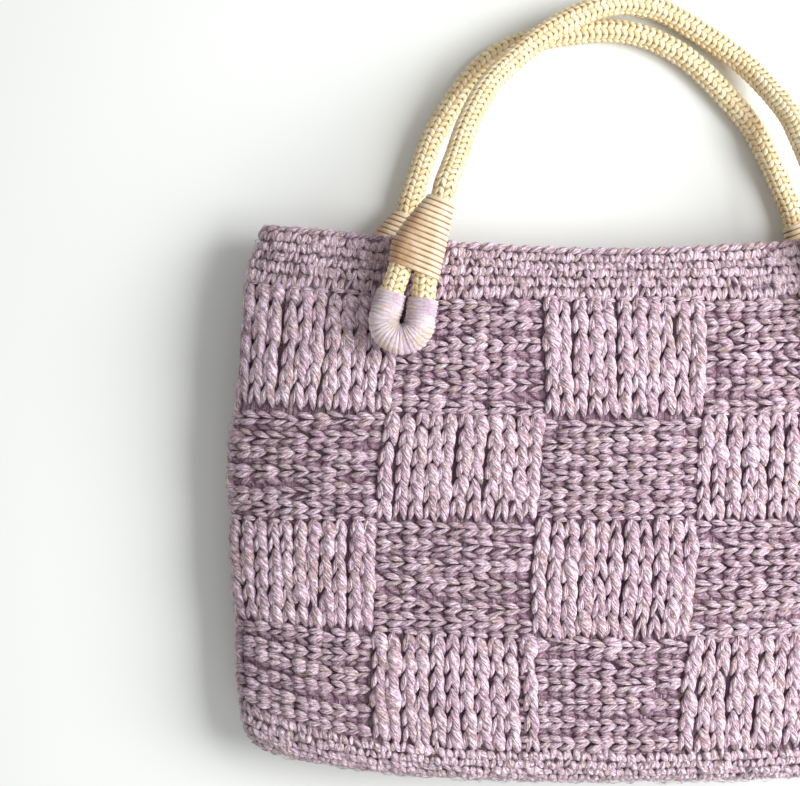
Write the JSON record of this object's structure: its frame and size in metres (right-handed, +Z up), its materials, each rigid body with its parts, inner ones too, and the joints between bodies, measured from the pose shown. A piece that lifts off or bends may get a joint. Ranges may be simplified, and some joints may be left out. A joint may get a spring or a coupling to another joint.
{
  "type": "knitted handbag with two rope handles",
  "caption": "Soft open-topped knitted tote in a basketwork of ribbed blocks, lying on its back, with rope handles whose lace-bound ends are sewn on by wound yarn.",
  "frame": {"origin": "on the floor, under the middle of the box round the bag and its sewn-on handle ends, the free handle arches left out", "axes": "+X across the bag to the right as its front is seen, +Y from the base to the rim and the handles, +Z up from the floor through the back to the front"},
  "size_m": [0.3774, 0.3861, 0.0673],
  "materials": {
    "yarn": "soft slubby plied yarn, lilac with brown and cream flecks",
    "rope": "braided cotton rope, cream",
    "lace": "smooth tan lace, satin"
  },
  "bodies": {
    "root": {"bag_shell": "yarn", "front_handle_rope": "rope", "back_handle_rope": "rope", "front_left_eye_rope": "rope", "front_left_eye_wrap": "yarn", "front_left_binding": "lace", "front_right_eye_rope": "rope", "front_right_eye_wrap": "yarn", "front_right_binding": "lace", "back_left_eye_rope": "rope", "back_left_eye_wrap": "yarn", "back_left_binding": "lace", "back_right_eye_rope": "rope", "back_right_eye_wrap": "yarn", "back_right_binding": "lace"}
  },
  "joints": []
}
